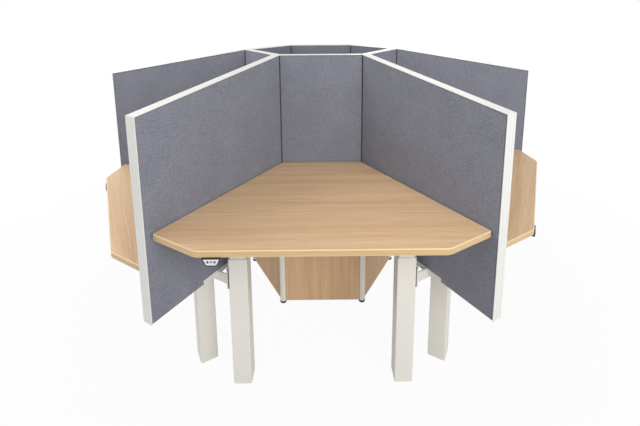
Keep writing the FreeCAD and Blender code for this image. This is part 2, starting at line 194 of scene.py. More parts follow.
# The rim's paler colour is a painted highlight along the rounded edge
highlight_painted_rim = edge_band("abs_rim_with_painted_highlight", "#E8CFA9", "#DFC298")
print(band_face.name, len(band_face.node_tree.nodes), "nodes")

# %% [markdown]
# ## Acoustic fabric
# The panels wear a plain-woven wool blend whose yarns are spun from pale and dark fibres, so the
# grey is mottled at every size: thread by thread, in short slubs along the warp and weft, and in
# soft clouds. A weave of real 1 mm threads would shimmer at this distance, so the threads are
# drawn 3 mm wide. The UV map of each pad runs along the panel and up it, which keeps the weave
# square to the panel's edges wherever the panel stands.

# %% Acoustic fabric
thread = 0.003
fabric_layers = {"weft": (0.045, 0.0040), "warp": (0.0040, 0.045), "fibre": (0.006, 0.006),
                 "cloud": (0.110, 0.110)}
cloud_share = 0.12
weave_depth = 0.0006


def woven_wool(name, dark, pale):
    """Mottled wool weave: matt and soft, with a faint fuzz at grazing angles."""
    material, tree, shader = new_material(name, Roughness=0.93, Specular_IOR_Level=0.15,
                                          Sheen_Weight=0.12, Sheen_Roughness=0.5)
    uv = add(tree, "TexCoord").outputs["UV"]
    layers = {}
    for layer, (along, up) in fabric_layers.items():
        place = add(tree, "Mapping", {"Vector": uv, "Scale": (1 / along, 1 / up, 1)})
        noise = add(tree, "TexNoise", {"Vector": place.outputs[0], "Scale": 1, "Detail": 2},
                    noise_dimensions="2D")
        layers[layer] = noise.outputs[0]
    slub = add(tree, "Mix", {0: 0.5, 2: layers["weft"], 3: layers["warp"]})
    yarn = add(tree, "Mix", {0: 0.5, 2: slub.outputs[0], 3: layers["fibre"]})
    tone = add(tree, "Mix", {0: cloud_share, 2: yarn.outputs[0], 3: layers["cloud"]})
    share = add(tree, "MapRange", {"Value": tone.outputs[0], "From Min": noise_low,
                                   "From Max": noise_high})
    mottled = add(tree, "Mix", {0: share.outputs[0], 6: linear(dark), 7: linear(pale)},
                  data_type="RGBA")
    tree.links.new(mottled.outputs[2], shader.inputs["Base Color"])
    waves = []
    for direction in ("X", "Y"):
        # A band repeats every 2 pi / 20 / Scale, so at this scale it repeats once for each thread
        wave = add(tree, "TexWave", {"Vector": uv, "Scale": pi / 10 / thread, "Distortion": 0.6},
                   bands_direction=direction)
        waves.append(wave.outputs["Fac"])
    weave = add(tree, "Math", {0: waves[0], 1: waves[1]}, operation="MULTIPLY")
    relief = add(tree, "Bump", {"Height": weave.outputs[0], "Strength": 0.35,
                                "Distance": weave_depth})
    tree.links.new(relief.outputs[0], shader.inputs["Normal"])
    return material


fabric = woven_wool("woven_wool_blend", "#71737F", "#8F929C")
print(fabric.name, len(fabric.node_tree.nodes), "nodes")

# %% [markdown]
# ## Painted metal, plastics and rubber
# Trims, posts, columns and frames are powder-coated: paint powder melts into a film with a fine
# orange-peel ripple about two millimetres across, which breaks up reflections. Moulded plastic
# has a spark-eroded grain instead, and rubber is matt and a little dusty. All of these are one
# colour with a slight drift in tone, a drift in gloss and a ripple in the surface. One
# function makes them, and each call says what the eye should see.


# %% Coated and moulded finishes
drift_size = 0.25


def coated(name, colour, drift, gloss, ripple, depth, **values):
    """A one-colour finish whose tone and gloss drift, with a ripple of the given size in metres."""
    material, tree, shader = new_material(name, **values)
    place = add(tree, "TexCoord").outputs["Object"]
    cloud = add(tree, "TexNoise", {"Vector": place, "Scale": 1 / drift_size, "Detail": 3})
    grain = add(tree, "TexNoise", {"Vector": place, "Scale": 1 / ripple, "Detail": 2})
    toned = add(tree, "Mix", {0: cloud.outputs[0], 6: linear(colour), 7: linear(drift)},
                data_type="RGBA")
    tree.links.new(toned.outputs[2], shader.inputs["Base Color"])
    shine = add(tree, "MapRange", {"Value": grain.outputs[0], "From Min": soft_low,
                                   "From Max": soft_high, "To Min": gloss[0],
                                   "To Max": gloss[1]})
    tree.links.new(shine.outputs[0], shader.inputs["Roughness"])
    relief = add(tree, "Bump", {"Height": grain.outputs[0], "Strength": 0.3, "Distance": depth})
    tree.links.new(relief.outputs[0], shader.inputs["Normal"])
    return material


# Clean off-white paint on extruded aluminium: bright edges, satin faces
trim_paint = coated("powder_coated_aluminium", "#E2E2DE", "#DCDCD7", (0.38, 0.50), 0.002, 0.00006)
# Warmer grey-white paint on steel tube
column_paint = coated("powder_coated_steel", "#E8E5DE", "#E1DED6", (0.40, 0.52), 0.002, 0.00006)
# Whiter paint on the core's posts: painted light that brightens them where they stand in the shade
# of the desks
post_paint = coated("white_post_steel_with_painted_light", "#F6F4EE", "#F0EEE7", (0.40, 0.52), 0.002, 0.00006)
# Moulded white polypropylene on the caps and the column liners
white_plastic = coated("white_polypropylene", "#E2E2DE", "#DCDCD7", (0.45, 0.55), 0.001, 0.00003)
# Black moulded nylon: deep, with a soft grey shine
black_plastic = coated("black_nylon", "#0D0D0E", "#131314", (0.42, 0.58), 0.001, 0.00005)
# Black rubber: almost no shine
rubber = coated("black_rubber", "#0F0F0F", "#161616", (0.80, 0.92), 0.0015, 0.00008)
# Bright zinc on the motors, spindles and bolts
zinc = coated("zinc_plated_steel", "#B6B9BC", "#A6A9AD", (0.28, 0.42), 0.004, 0.00003, Metallic=1.0)
# Dull grey of the boards inside the panels, seen only as thin dark seams; on the posts above the
# lower panels the same grey is painted shade in the seams
board_grey_and_seam_shade = coated("grey_softboard_and_painted_seam_shade", "#77777B", "#6C6C70", (0.85, 0.95), 0.003, 0.0002)
# Handset: black housing, pale face, dark keys and a smoked display window
housing_plastic = coated("black_abs", "#1A1A1C", "#222225", (0.36, 0.50), 0.001, 0.00004)
face_plastic = coated("pale_grey_abs", "#E2E3E2", "#DADBDA", (0.40, 0.50), 0.001, 0.00003)
key_plastic = coated("dark_grey_abs", "#2A2B2E", "#333438", (0.45, 0.55), 0.001, 0.00003)
window_plastic = coated("smoked_polycarbonate", "#9CA19F", "#90968F", (0.10, 0.16), 0.002, 0.00001)
print(len(bpy.data.materials), "materials")

# %% [markdown]
# ## Making a piece
# Each new piece starts as a bmesh, an editable mesh in memory. When its shape is done it becomes
# an object at the origin, with its place in the mesh, and it rides on the body that carries it.
# Rounded edges look right only if wide flat faces keep their flat shading, so a Weighted Normal
# modifier lets the larger faces set the normals.

# %% Helpers for pieces
smooth_limit = radians(50)
touch = 1e-6
# Each piece starts its map elsewhere, so that neighbours don't show the same patch
map_steps = {"screen": (3.1, 1.7), "core": (2.3, 2.9), "worktop": (2.7, 1.3), "panel": (1.9, 0.7)}


def turned(bm, angle):
    """Turn everything about the middle of the pod."""
    bmesh.ops.rotate(bm, verts=bm.verts, cent=(0, 0, 0), matrix=Matrix.Rotation(angle, 3, "Z"))
    return bm


def station_angle(number):
    """Stations follow each other clockwise, seen from above."""
    return -sector * (number - 1)


def lay_map(bm, along, across, kind, first, second):
    """Lay a flat UV map in metres, with u along the grain or weft and v across it."""
    start = (first * map_steps[kind][0], second * map_steps[kind][1])
    layer = bm.loops.layers.uv.new("surface")
    for face in bm.faces:
        for loop in face.loops:
            place = loop.vert.co
            loop[layer].uv = (place.dot(along) + start[0], place.dot(across) + start[1])


def piece(name, bm, body, slot, replaced, *materials):
    """Turn a bmesh into a piece that rides on a body and stands for CAD nodes."""
    mesh = bpy.data.meshes.new(name)
    bm.to_mesh(mesh)
    bm.free()
    for material in materials:
        mesh.materials.append(material)
    mesh.shade_smooth()
    mesh.set_sharp_from_angle(angle=smooth_limit)
    made = bpy.data.objects.new(name, mesh)
    bpy.context.scene.collection.objects.link(made)
    made.modifiers.new("flat faces", "WEIGHTED_NORMAL").keep_sharp = True
    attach(made, body)
    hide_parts(*replaced)
    return made


def raised(bm, face, push):
    """Extrude one face into a closed block, and return the face at the far end."""
    made = bmesh.ops.extrude_face_region(bm, geom=[face], use_keep_orig=True)["geom"]
    bmesh.ops.translate(bm, verts=[v for v in made if isinstance(v, bmesh.types.BMVert)], vec=push)
    bmesh.ops.recalc_face_normals(bm, faces=bm.faces)
    return next(f for f in made if isinstance(f, bmesh.types.BMFace))


def outline(bm, points):
    """One flat face through the points."""
    return bm.faces.new([bm.verts.new(point) for point in points])


def rounded(bm, geom, radius, segments, affect="EDGES"):
    """Round edges or corners to about the radius."""
    bmesh.ops.bevel(bm, geom=geom, offset=radius, segments=segments, profile=0.5, affect=affect,
                    material=-1, clamp_overlap=True)


def joined(parts):
    """Put several bmeshes into one."""
    whole = bmesh.new()
    for part in parts:
        carrier = bpy.data.meshes.new("carrier")
        part.to_mesh(carrier)
        part.free()
        whole.from_mesh(carrier)
        bpy.data.meshes.remove(carrier)
    return whole


print("piece helpers ready")

# %% [markdown]
# ## Measures of the pod
# Most places can be read from the frame: the box of a node gives its height and reach. A few
# sizes that a box can't show are written here, as the maker's drawing would give them.

# %% Measures
core_height = cad_box[1].z
screen_reach = cad_box[1].x
screen_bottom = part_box("screen_trims")[0].z
screen_end_height = 1.280
board_half = 0.008
panel_half = 0.022
trim_half = 0.0235
trim_cover = 0.003
trim_clearance = 0.0004
post_radius = 0.017
post_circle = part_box("core_posts")[1].x - post_radius
core_apothem = post_circle * cos(half_sector)
panel_setback = trim_half * tan(half_sector) + trim_clearance
screen_start = post_circle + panel_setback
screen_slope = atan2(core_height - screen_end_height, screen_reach - screen_start)
inner_low, inner_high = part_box("inner_columns_1")
column_y = (inner_low.y + inner_high.y) / 2
column_x = inner_high.x - (inner_high.y - inner_low.y) / 2
desk_top = {n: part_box(f"worktop_{n}")[1].z for n in stations}
print("desk heights", {n: round(z, 3) for n, z in desk_top.items()})

# %% [markdown]
# ## Upholstered pads
# A pad is 14 mm of foam on one face of a board, with the fabric pulled tight over it and round
# its edges. It is almost flat: the front edges are rounded, and the face swells by little more
# than a millimetre behind the trim and the channel that hold it. Inflating a cloth would only
# have to be flattened again, so the outline is extruded, its front edges are bevelled, and the
# face is inset in steps that each rise a little.

# %% Pads
pad_shoulder = 0.005
pad_gap = 0.002
seam_gap = 0.0003
crown_steps = ((0.024, 0.0), (0.016, 0.0007), (0.050, 0.0005))


def fabric_pad(corners, inner, outer):
    """A tight, slightly crowned pad between two distances from a panel's mid-plane."""
    bm = bmesh.new()
    back = outline(bm, [(x, inner, z) for x, z in corners])
    raised(bm, back, (0, outer - inner, 0))
    around = [edge for edge in bm.edges if edge not in back.edges[:]]
    rounded(bm, around, pad_shoulder, 3)
    face = max(bm.faces, key=lambda f: f.calc_area() * (1 if f.normal.y * outer > 0 else 0))
    for width, rise in crown_steps:
        bmesh.ops.inset_region(bm, faces=[face], thickness=width, depth=rise, use_even_offset=True)
    return bm


screen_end = screen_reach - trim_cover
screen_drop = trim_cover / cos(screen_slope)
start_top = core_height - screen_drop - pad_gap
end_top = screen_end_height + trim_cover * tan(screen_slope) - screen_drop - pad_gap
screen_corners = ((screen_start + seam_gap, screen_bottom), (screen_end - pad_gap, screen_bottom),
                  (screen_end - pad_gap, end_top), (screen_start + seam_gap, start_top))
core_half_width = post_circle / 2 - panel_setback - seam_gap
core_pad_top = core_height - trim_cover - pad_gap
core_corners = ((-core_half_width, screen_bottom), (core_half_width, screen_bottom),
                (core_half_width, core_pad_top), (-core_half_width, core_pad_top))
weft, warp = Vector((1, 0, 0)), Vector((0, 0, 1))

for number in stations:
    for name, side in (("left", 1), ("right", -1)):
        bm = fabric_pad(screen_corners, side * board_half, side * panel_half)
        lay_map(bm, weft, warp, "screen", number, side)
        turned(bm, sector * (number - 1))
        piece(f"screen_pad_{number}_{name}", bm, "pod_frame", "acoustic_fabric",
                          ["screen_pads"], fabric)
    for name, side in (("inner", 1), ("outer", -1)):
        bm = fabric_pad(core_corners, side * board_half, side * panel_half)
        lay_map(bm, weft, warp, "core", number, side)
        bmesh.ops.translate(bm, verts=bm.verts, vec=(0, -core_apothem, 0))
        turned(bm, station_angle(number))
        piece(f"core_pad_{number}_{name}", bm, "pod_frame", "acoustic_fabric",
                          ["core_pads"], fabric)

# %% [markdown]
# ## Aluminium trims
# An extruded trim caps each panel: a shallow U with two fine grooves along its face and softly
# rounded outer edges. A section drawn once is extruded and its two outer edges are bevelled.
# At the outer corner the sloping and the upright trims are cut on a mitre, which a bisecting
# plane does cleanly, and filling the cut closes the end again.

# %% Trims
trim_lip = 0.0032
trim_round = 0.0016
groove_near, groove_far, groove_depth = 0.0080, 0.0096, 0.0008


def trim_bar(length):
    """The trim along +X, with its face at z = 0."""
    half = [(groove_near, 0), (groove_near, -groove_depth), (groove_far, -groove_depth),
            (groove_far, 0), (trim_half, 0), (trim_half, -trim_lip), (panel_half, -trim_lip),
            (panel_half, -trim_cover)]
    points = [(0, y, z) for y, z in half] + [(0, -y, z) for y, z in reversed(half)]
    bm = bmesh.new()
    raised(bm, outline(bm, points), (length, 0, 0))
    corners = [edge for edge in bm.edges if edge.calc_length() > length / 2
               and all(abs(abs(v.co.y) - trim_half) < touch and abs(v.co.z) < touch
                       for v in edge.verts)]
    rounded(bm, corners, trim_round, 4)
    return bm


def cut_off(bm, point, normal):
    """Cut away what lies past a plane, and close the cut."""
    geom = bm.verts[:] + bm.edges[:] + bm.faces[:]
    cut = bmesh.ops.bisect_plane(bm, geom=geom, plane_co=point, plane_no=normal, clear_outer=True)
    edges = [e for e in cut["geom_cut"] if isinstance(e, bmesh.types.BMEdge)]
    bmesh.ops.edgeloop_fill(bm, edges=edges)
    bmesh.ops.recalc_face_normals(bm, faces=bm.faces)


def tilted(bm, angle, place):
    """Turn a bar about Y and move it to its place."""
    bmesh.ops.rotate(bm, verts=bm.verts, cent=(0, 0, 0), matrix=Matrix.Rotation(angle, 3, "Y"))
    bmesh.ops.translate(bm, verts=bm.verts, vec=place)
    return bm


# Extra length for the mitre to cut off
spare = 0.03
corner = Vector((screen_reach, 0, screen_end_height))
lean = (pi / 2 - screen_slope) / 2
mitre = Vector((cos(lean), 0, -sin(lean)))
run = (screen_reach - screen_start) / cos(screen_slope)
fall = Vector((cos(screen_slope), 0, -sin(screen_slope)))
trims = []
for number in stations:
    top = trim_bar(run + 2 * spare)
    tilted(top, screen_slope, Vector((screen_start, 0, core_height)) - fall * spare)
    cut_off(top, (screen_start, 0, 0), (-1, 0, 0))
    cut_off(top, corner, mitre)
    end = trim_bar(screen_end_height - screen_bottom + spare)
    tilted(end, pi / 2, corner + Vector((0, 0, spare)))
    cut_off(end, corner, -mitre)
    trims.append(turned(joined([top, end]), sector * (number - 1)))
screen_trims = piece("screen_trims_rounded", joined(trims), "pod_frame", "trim_paint",
                     ["screen_trims"], trim_paint)
trims = []
for number in stations:
    length = post_circle - 2 * panel_setback
    bar = trim_bar(length)
    bmesh.ops.translate(bar, verts=bar.verts, vec=(-length / 2, -core_apothem, core_height))
    trims.append(turned(bar, station_angle(number)))
core_trims = piece("core_trims_rounded", joined(trims), "pod_frame", "trim_paint",
                   ["core_trims"], trim_paint)
print(len(screen_trims.data.polygons), "and", len(core_trims.data.polygons), "faces of trim")

# %% [markdown]
# ## Worktops
# Each top is a board with two cut corners at the front, softened where the user's arms rest.
# The outline is bevelled at its corner points first, while it is still one flat face. Then it
# is extruded, and both rims are rounded to the radius of the edge band. The sides take the
# band's plastic, the rounded rims its paler colour as a painted highlight, and the flat faces
# keep the laminate.

# %% Worktops
top_thickness = 0.025
front_edge_width = 0.844
end_setback = 0.026
worktop_gap = 0.006
side_gap = panel_half + worktop_gap
front_corner, end_corner, rim_radius = 0.050, 0.008, 0.0034
# How upright a face's normal stands on the flat faces, at least, and on the sides, at most
flat_limit, side_limit = 0.999, 0.1


def worktop_board(number):
    """The board of one station, with its grain along the front edge."""
    back = core_apothem + side_gap
    reach = screen_reach - end_setback
    back_x = back * tan(half_sector) - side_gap / cos(half_sector)
    end_x = reach * sin(half_sector) - side_gap * cos(half_sector)
    end_y = reach * cos(half_sector) + side_gap * sin(half_sector)
    front_x = front_edge_width / 2
    front = (reach - front_x * sin(half_sector)) / cos(half_sector)
    right = [(back_x, -back), (end_x, -end_y), (front_x, -front)]
    low = desk_top[number] - top_thickness
    bm = bmesh.new()
    points = right + [(-x, y) for x, y in reversed(right)]
    face = outline(bm, [(x, y, low) for x, y in points])
    corners = face.verts[:]
    rounded(bm, [corners[1], corners[4]], end_corner, 5, "VERTICES")
    rounded(bm, [v for v in corners if v.is_valid and abs(v.co.y + front) < touch],
            front_corner * tan(half_sector / 2), 8, "VERTICES")
    bottom = bm.faces[:][0]
    upper = raised(bm, bottom, (0, 0, top_thickness))
    rounded(bm, upper.edges[:] + bottom.edges[:], rim_radius, 4)
    for face in bm.faces:
        rise = abs(face.normal.z)
        # Index 2, the rounded rims, takes the paler band colour: a painted highlight
        face.material_index = 0 if rise > flat_limit else 1 if rise < side_limit else 2
    lay_map(bm, Vector((1, 0, 0)), Vector((0, 1, 0)), "worktop", number, number)
    return turned(bm, station_angle(number))


for number in stations:
    piece(f"worktop_board_{number}", worktop_board(number), f"desk_{number}", "worktop_laminate",
          [f"worktop_{number}"], laminate, band_face, highlight_painted_rim)

# %% [markdown]
# ## Lifting columns
# A column is a square tube on the floor with a smaller tube sliding in it. Both are rolled
# steel with rounded corners. A square face gets its corners rounded, an inset cuts the wall
# out of it, and extruding that ring makes a true hollow tube, so the inner one can slide.

# %% Columns
column_size, column_wall, column_corner = 0.080, 0.0025, 0.004
rising_size, rising_wall, rising_corner = 0.070, 0.002, 0.003


def square_tube(size, wall, radius, low, high):
    """An upright hollow square tube with round corners."""
    h = size / 2
    bm = bmesh.new()
    face = outline(bm, [(-h, -h, low), (h, -h, low), (h, h, low), (-h, h, low)])
    rounded(bm, face.verts[:], radius, 6, "VERTICES")
    inside = bm.faces[:][0]
    ring = bmesh.ops.inset_region(bm, faces=[inside], thickness=wall, use_boundary=True,
                                  use_even_offset=True)["faces"]
    bmesh.ops.delete(bm, geom=[inside], context="FACES_ONLY")
    made = bmesh.ops.extrude_face_region(bm, geom=ring, use_keep_orig=True)["geom"]
    bmesh.ops.translate(bm, verts=[v for v in made if isinstance(v, bmesh.types.BMVert)],
                        vec=(0, 0, high - low))
    bmesh.ops.recalc_face_normals(bm, faces=bm.faces)
    return bm


def column_pair(number, make):
    """Two copies of a tube at the columns of one station."""
    pair = []
    for side in (-1, 1):
        tube = make()
        bmesh.ops.translate(tube, verts=tube.verts, vec=(side * column_x, column_y, 0))
        pair.append(turned(tube, station_angle(number)))
    return joined(pair)


outer_low, outer_high = (corner.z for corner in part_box("outer_columns"))
tubes = []
for number in stations:
    tubes.append(column_pair(number, lambda: square_tube(column_size, column_wall, column_corner,
                                                         outer_low, outer_high)))
piece("outer_column_tubes", joined(tubes), "pod_frame", "column_paint", ["outer_columns"],
      column_paint)
for number in stations:
    low, high = (corner.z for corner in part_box(f"inner_columns_{number}"))
    pair = column_pair(number, lambda: square_tube(rising_size, rising_wall, rising_corner,
                                                   low, high))
    piece(f"rising_tubes_{number}", pair, f"desk_{number}", "column_paint",
          [f"inner_columns_{number}"], column_paint)
print("twelve columns from", round(outer_low, 3), "to", round(outer_high, 3))

# %% [markdown]
# ## Posts and glides
# The core stands on six round posts with black screw-in glides. A profile spun about the post's
# axis makes the glide's rounded foot, and a spun line makes the post. Above the lower panels a
# post stands behind the pads, where only a dark seam shows, so there it is coloured the dull grey
# of the boards: painted shade in the seam. Below that its whiter paint is painted light.

# %% Posts and glides
spin_steps = 40
glide_radius, glide_round = 0.018, 0.005
glide_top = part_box("core_glides")[1].z
post_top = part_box("core_posts")[1].z


def spun(profile):
    """Spin a profile of (radius, height) points about the axis of the post on +X."""
    bm = bmesh.new()
    verts = [bm.verts.new((post_circle + r, 0, z)) for r, z in profile]
    edges = [bm.edges.new(pair) for pair in zip(verts, verts[1:])]
    bmesh.ops.spin(bm, geom=verts + edges, cent=(post_circle, 0, 0), axis=(0, 0, 1),
                   angle=2 * pi, steps=spin_steps, use_merge=True)
    bmesh.ops.remove_doubles(bm, verts=bm.verts, dist=touch)
    bmesh.ops.recalc_face_normals(bm, faces=bm.faces)
    return bm


post_profile = [(0, glide_top), (post_radius, glide_top), (post_radius, screen_bottom),
                (post_radius, post_top), (0, post_top)]
foot_steps = 5
foot = [(glide_radius - glide_round * (1 - cos(a)), glide_round * (1 - sin(a)))
        for a in (radians(90 / foot_steps * i) for i in range(foot_steps + 1))]
glide_profile = [(0, 0)] + foot[::-1] + [(glide_radius, glide_top), (0, glide_top)]
# The posts' whiter paint is painted light, and their upper part's grey is painted seam shade
for name, profile, slot, node, paints in (
        ("round_posts", post_profile, "post_paint", "core_posts", (post_paint, board_grey_and_seam_shade)),
        ("screw_glides", glide_profile, "black_plastic", "core_glides", (black_plastic,))):
    copies = joined([turned(spun(profile), sector * i) for i in range(len(stations))])
    for face in copies.faces:
        # Faces above the lower panels take the second finish: on the posts, painted shade for the
        # seams
        face.material_index = int(face.calc_center_median().z > screen_bottom)
    made = piece(name, copies, "pod_frame", slot, [node], *paints)
    print(name, len(made.data.polygons), "faces")

# %% [markdown]
# ## Lower core panels
# Between the posts stand plain laminate boards with just-broken edges. Their grain is upright,
# so the map runs up the board.

# %% Lower core panels
panel_thickness, broken_edge, post_clearance = 0.019, 0.0008, 0.0004
panel_side = post_circle / 2 - post_radius - post_clearance
panel_low, panel_high = (corner.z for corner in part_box("core_lower_panels"))


def lower_panel(number):
    """One board between two posts, with upright grain."""
    bm = bmesh.new()
    bmesh.ops.create_cube(bm, size=1.0)
    size = (2 * panel_side, panel_thickness, panel_high - panel_low)
    bmesh.ops.scale(bm, verts=bm.verts, vec=size)
    bmesh.ops.translate(bm, verts=bm.verts, vec=(0, -core_apothem, (panel_low + panel_high) / 2))
    rounded(bm, bm.edges[:], broken_edge, 2)
    lay_map(bm, Vector((0, 0, 1)), Vector((1, 0, 0)), "panel", number, number)
    return turned(bm, station_angle(number))


lower_panels = joined([lower_panel(number) for number in stations])
piece("lower_panels", lower_panels, "pod_frame", "core_laminate", ["core_lower_panels"],
      panel_laminate)
print("lower panels up to", round(panel_high, 3))

# %% [markdown]
# ## Folded, welded and moulded pieces
# Channels, saddles, brackets, caps, feet and liners already have the right shape in the frame,
# but a sharp edge reflects nothing. A merged copy of each node gets its sharp edges rounded by
# a millimetre or less, as a press brake or a mould would leave them.

# %% Eased copies
sharp_angle, flat_angle = radians(30), radians(1)
frame_ease = 0.0008
# One face can't have a hole in it, so on pieces with ring-shaped faces triangles are only paired
ringed = ("column_feet", "guide_liners")


def eased_copy(node, radius):
    """A merged copy of a CAD node with rounded edges."""
    bm = bmesh.new()
    bm.from_mesh(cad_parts[node].data)
    bmesh.ops.remove_doubles(bm, verts=bm.verts, dist=touch)
    if node in ringed:
        bmesh.ops.join_triangles(bm, faces=bm.faces, angle_face_threshold=flat_angle,
                                 angle_shape_threshold=pi)
    else:
        bmesh.ops.dissolve_limit(bm, angle_limit=flat_angle, verts=bm.verts, edges=bm.edges)
    sharp = [e for e in bm.edges if len(e.link_faces) == 2 and e.calc_face_angle() > sharp_angle]
    rounded(bm, sharp, radius, 2)
    return bm


eased = [("three_way_caps", "core_caps", "white_plastic", white_plastic, 0.0006),
         ("folded_channels", "screen_channels", "trim_paint", trim_paint, 0.0007),
         ("welded_saddles", "bridge_saddles", "column_paint", column_paint, 0.0008),
         ("rubber_clamp_pads", "clamp_pads", "clamp_rubber", rubber, 0.0010),
         ("moulded_feet", "column_feet", "column_paint", column_paint, 0.0008),
         ("sliding_liners", "guide_liners", "white_plastic", white_plastic, 0.0005)]
for name, node, slot, paint, radius in eased:
    made = piece(name, eased_copy(node, radius), "pod_frame", slot, [node], paint)
    print(name, len(made.data.polygons), "faces")
for number in stations:
    copy = eased_copy(f"desk_frame_{number}", frame_ease)
    piece(f"welded_frame_{number}", copy, f"desk_{number}", "frame_paint",
          [f"desk_frame_{number}"], column_paint)

# %% [markdown]
# ## Clamp bolts
# Two dome-headed bolts pull each saddle plate on to its column, one above the arm and one below.
# They are far too small for the frame to carry, so they are made here: a short disc, bevelled
# to a dome, with a shallow pit for the key.

# %% Bolts
bolt_radius, bolt_height, bolt_sides, dome_round = 0.0065, 0.0045, 18, 0.0027
pit_rim, pit_wall, pit_depth = 0.00204, 0.0002, 0.0020
# Clamp pad and plate together, from the column's face outwards
clamp_stack = 0.014
plate_offset = column_size / 2 + clamp_stack
plate_low, plate_high = (corner.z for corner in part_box("bridge_saddles"))
bolt_margin = 0.0105


def dome_bolt():
    """A bolt head that stands on x = 0 and points along +X."""
    bm = bmesh.new()
    made = bmesh.ops.create_circle(bm, cap_ends=True, radius=bolt_radius,
                                    segments=bolt_sides)
    base = made["verts"][0].link_faces[0]
    top = raised(bm, base, (0, 0, bolt_height))
    rounded(bm, top.edges[:], dome_round, 3)
    crown = max(bm.faces, key=lambda f: f.calc_center_median().z)
    bmesh.ops.inset_region(bm, faces=[crown], thickness=pit_rim)
    bmesh.ops.inset_region(bm, faces=[crown], thickness=pit_wall, depth=-pit_depth)
    bmesh.ops.rotate(bm, verts=bm.verts, cent=(0, 0, 0), matrix=Matrix.Rotation(pi / 2, 3, "Y"))
    return bm


bolts = []
for number in stations:
    for side in (-1, 1):
        for z in (plate_low + bolt_margin, plate_high - bolt_margin):
            bolt = dome_bolt()
            turned(bolt, 0 if side > 0 else pi)
            place = (side * (column_x + plate_offset), column_y, z)
            bmesh.ops.translate(bolt, verts=bolt.verts, vec=place)
            bolts.append(turned(bolt, station_angle(number)))
piece("clamp_bolts", joined(bolts), "pod_frame", "drive_metal", [], zinc)
print(len(bolts), "clamp bolts")

# %% [markdown]
# ## Handsets
# The handset is a small moulded trapezoid under the front edge. Its housing is extruded from the
# outline and rounded, and an inset of the front face makes the rim. The pale face plate has two
# pockets for the keys and a shallow window. Filling between the plate's outline and the
# loops of the holes leaves them open, and each loop is then extruded inwards.

# %% Handsets
handset_low, handset_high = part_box("handset_1")
handset_x = (handset_low.x + handset_high.x) / 2
handset_front = handset_low.y
handset_depth = handset_high.y - handset_low.y
handset_height = handset_high.z - handset_low.z
top_half = (handset_high.x - handset_low.x) / 2
foot_half, foot_ease, housing_round = 0.020, 0.004, 0.0012
face_rim, face_wall, face_sink = 0.0028, 0.0001, 0.0003
key_offset, key_drop, key_reach, key_slack = 0.012, 0.0125, 0.0045 / cos(half_sector), 0.0007
key_proud, key_length, key_pocket = 0.0012, 0.0053, 0.0055
key_corner, key_round = 0.0008, 0.0004
window_half, window_rise, window_depth = 0.0055, 0.0035, 0.0005


def key_corners(side, reach, height, y):
    """A triangle that points up on the left key and down on the right one."""
    x = handset_x + side * key_offset
    z = height - top_thickness - key_drop
    return [(x + reach * cos(a), y, z - side * reach * sin(a))
            for a in (radians(90), radians(210), radians(330))]


def pocket(bm, loop, depth, index):
    """Extrude a hole's edges inwards and close the far end."""
    made = bmesh.ops.extrude_edge_only(bm, edges=loop)["geom"]
    bmesh.ops.translate(bm, verts=[v for v in made if isinstance(v, bmesh.types.BMVert)],
                        vec=(0, depth, 0))
    rim = [e for e in made if isinstance(e, bmesh.types.BMEdge)
           and all(v in made for v in e.verts)]
    bmesh.ops.edgeloop_fill(bm, edges=rim, mat_nr=index)


def closed_loop(bm, points):
    """A ring of edges through the points."""
    verts = [bm.verts.new(point) for point in points]
    return [bm.edges.new((verts[i - 1], verts[i])) for i in range(len(verts))]


def handset_body(number):
    """Housing, face plate, key pockets and display window in one moulding."""
    top = desk_top[number] - top_thickness
    slant = (top_half - foot_half) / handset_height
    half = [(top_half, 0), (foot_half + foot_ease * slant, foot_ease - handset_height),
            (foot_half - foot_ease, -handset_height)]
    points = half + [(-x, z) for x, z in reversed(half)]
    bm = bmesh.new()
    front = outline(bm, [(handset_x + x, handset_front, top + z) for x, z in points])
    raised(bm, front, (0, handset_depth, 0))
    short = [e for e in bm.edges if e.calc_length() < handset_depth * 0.99]
    rounded(bm, short, housing_round, 3)
    front = max((f for f in bm.faces if f.normal.y < -0.99), key=lambda f: f.calc_area())
    bmesh.ops.inset_region(bm, faces=[front], thickness=face_rim, use_even_offset=True)
    bmesh.ops.inset_region(bm, faces=[front], thickness=face_wall, depth=-face_sink)
    rim = front.edges[:]
    y = front.calc_center_median().y
    bmesh.ops.delete(bm, geom=[front], context="FACES_ONLY")
    z = top - key_drop
    window = closed_loop(bm, [(handset_x + sx * window_half, y, z + sz * window_rise)
                              for sx, sz in ((-1, -1), (1, -1), (1, 1), (-1, 1))])
    keys = [closed_loop(bm, key_corners(side, key_reach + key_slack, desk_top[number], y))
            for side in (-1, 1)]
    plate = bmesh.ops.triangle_fill(bm, use_beauty=True, edges=rim + window + keys[0] + keys[1])
    for face in plate["geom"]:
        if isinstance(face, bmesh.types.BMFace):
            face.material_index = 1
    pocket(bm, window, window_depth, 2)
    for loop in keys:
        pocket(bm, loop, key_pocket, 0)
    bmesh.ops.recalc_face_normals(bm, faces=bm.faces)
    return turned(bm, station_angle(number))


def key_cap(number, side):
    """A rounded triangular key that stands proud of the face."""
    bm = bmesh.new()
    y = handset_front - key_proud
    face = outline(bm, key_corners(side, key_reach, desk_top[number], y))
    rounded(bm, face.verts[:], key_corner, 3, "VERTICES")
    front = bm.faces[:][0]
    raised(bm, front, (0, key_length, 0))
    rounded(bm, front.edges[:], key_round, 2)
    return turned(bm, station_angle(number))


for number in stations:
    piece(f"handset_body_{number}", handset_body(number), f"desk_{number}", "handset_plastic",
          [f"handset_{number}"], housing_plastic, face_plastic, window_plastic)
    for name, side in (("up", -1), ("down", 1)):
        piece(f"{name}_key_cap_{number}", key_cap(number, side), f"{name}_key_{number}",
              "key_plastic", [f"{name}_button_{number}"], key_plastic)
print("six handsets with two keys each")

